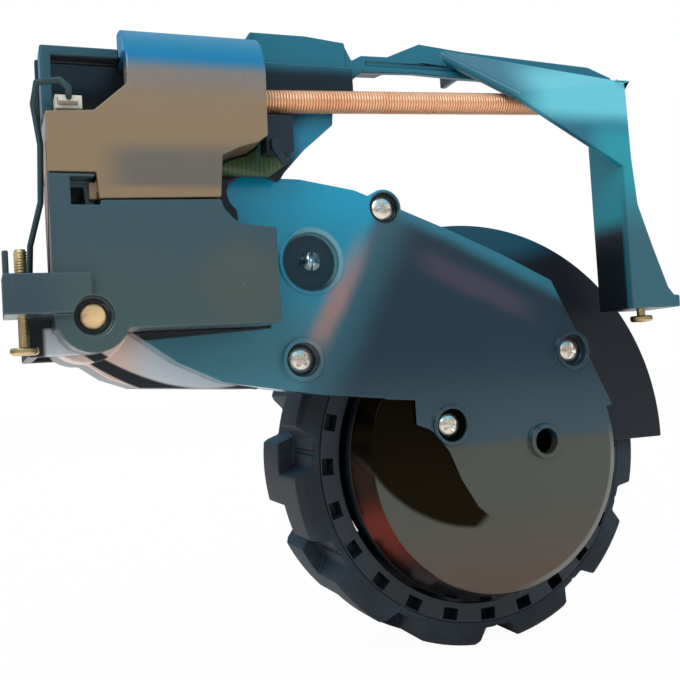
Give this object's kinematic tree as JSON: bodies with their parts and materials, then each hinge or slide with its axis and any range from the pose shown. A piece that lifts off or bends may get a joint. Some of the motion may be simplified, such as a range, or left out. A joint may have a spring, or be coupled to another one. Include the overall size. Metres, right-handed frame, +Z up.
{
  "type": "robot vacuum wheel module",
  "caption": "Sprung drive wheel module of a robot vacuum: lugged tyre on a geared swing arm, hinged to a frame with a long return spring and captive screws.",
  "frame": {"origin": "on the top face of the frame's left ear, beside its captive screw, where the vacuum's chassis rests", "axes": "+Z up, away from the floor the wheel runs on; +X from the hinge end towards the leg; +Y from the gearbox side towards the wheel side, along the wheel's axle"},
  "size_m": [0.1244, 0.0528, 0.11],
  "materials": {
    "black_gloss": "gloss",
    "black_matte": "satin",
    "tyre_rubber": "matte",
    "brass": "satin",
    "zinc_steel": "satin",
    "copper_spring": "satin",
    "motor_steel": "satin",
    "natural_plastic": "satin",
    "board_green": "satin",
    "cream_lead": "satin"
  },
  "bodies": {
    "frame": {"main_frame": "black_matte", "upper_cover": "black_gloss", "lower_cover": "black_gloss", "housing_screws": "zinc_steel", "pivot_pin": "brass", "pin_clip": "zinc_steel", "switch_board": "board_green", "drop_switch": "black_matte", "cable_plug": "natural_plastic", "board_socket": "natural_plastic", "motor_cable": "cream_lead", "return_spring": "copper_spring"},
    "left_captive": {"left_screw": "brass"},
    "right_captive": {"right_screw": "brass"},
    "lever": {"switch_lever": "zinc_steel"},
    "arm": {"gearbox_shell": "black_matte", "gearbox_cover": "black_gloss", "drum_cap": "black_matte", "drum_screws": "zinc_steel", "gear_bridge": "zinc_steel", "bridge_screws": "zinc_steel", "cover_screws": "zinc_steel", "bearing_post": "zinc_steel", "gear_pins": "zinc_steel", "wheel_guard": "black_matte", "motor_can": "motor_steel", "motor_cap": "natural_plastic", "motor_screws": "zinc_steel", "output_bearings": "brass", "pivot_bushes": "brass", "spring_anchor": "zinc_steel"},
    "rotor": {"motor_shaft": "zinc_steel", "motor_pinion": "brass"},
    "gear_a": {"first_gear": "natural_plastic"},
    "gear_b": {"second_gear": "natural_plastic"},
    "gear_c": {"third_gear": "natural_plastic"},
    "wheel": {"wheel_rim": "black_matte", "tyre": "tyre_rubber", "hub_nut": "zinc_steel", "output_shaft": "zinc_steel", "output_gear": "natural_plastic"}
  },
  "joints": [
    {"name": "arm_swing", "type": "hinge", "parent": "frame", "child": "arm", "pos_m": [0.0088, 0.019, -0.0061], "axis": [0, -1, 0], "range_deg": [0, 18], "stiffness_Nm_per_rad": 0.35, "springref_deg": -51.57, "deforming": ["return_spring"]},
    {"name": "wheel_spin", "type": "hinge", "parent": "arm", "child": "wheel", "pos_m": [0.08, 0.019, -0.0327], "axis": [0, 1, 0], "continuous": true},
    {"name": "third_gear_spin", "type": "hinge", "parent": "arm", "child": "gear_c", "pos_m": [0.07112, 0.019, -0.01844], "axis": [0, 1, 0], "continuous": true},
    {"name": "second_gear_spin", "type": "hinge", "parent": "arm", "child": "gear_b", "pos_m": [0.05926, 0.019, -0.00612], "axis": [0, 1, 0], "continuous": true},
    {"name": "first_gear_spin", "type": "hinge", "parent": "arm", "child": "gear_a", "pos_m": [0.0461, 0.019, 0.0028], "axis": [0, 1, 0], "continuous": true},
    {"name": "motor_spin", "type": "hinge", "parent": "arm", "child": "rotor", "pos_m": [0.03527, 0.019, 0.00471], "axis": [0, 1, 0], "continuous": true},
    {"name": "lever_press", "type": "hinge", "parent": "frame", "child": "lever", "pos_m": [0.0383, 0.019, 0.0205], "axis": [0, -1, 0], "range_deg": [0, 8], "stiffness_Nm_per_rad": 0.002, "springref_deg": -5.73},
    {"name": "left_screw_lift", "type": "slide", "parent": "frame", "child": "left_captive", "axis": [0, 0, 1], "range_m": [0, 0.004]},
    {"name": "right_screw_lift", "type": "slide", "parent": "frame", "child": "right_captive", "axis": [0, 0, 1], "range_m": [0, 0.001]}
  ],
  "couplings": [
    {"joint": "third_gear_spin", "follows": "wheel_spin", "ratio": -2.5},
    {"joint": "second_gear_spin", "follows": "wheel_spin", "ratio": 9.375},
    {"joint": "first_gear_spin", "follows": "wheel_spin", "ratio": -32.031},
    {"joint": "motor_spin", "follows": "wheel_spin", "ratio": 85.417}
  ]
}
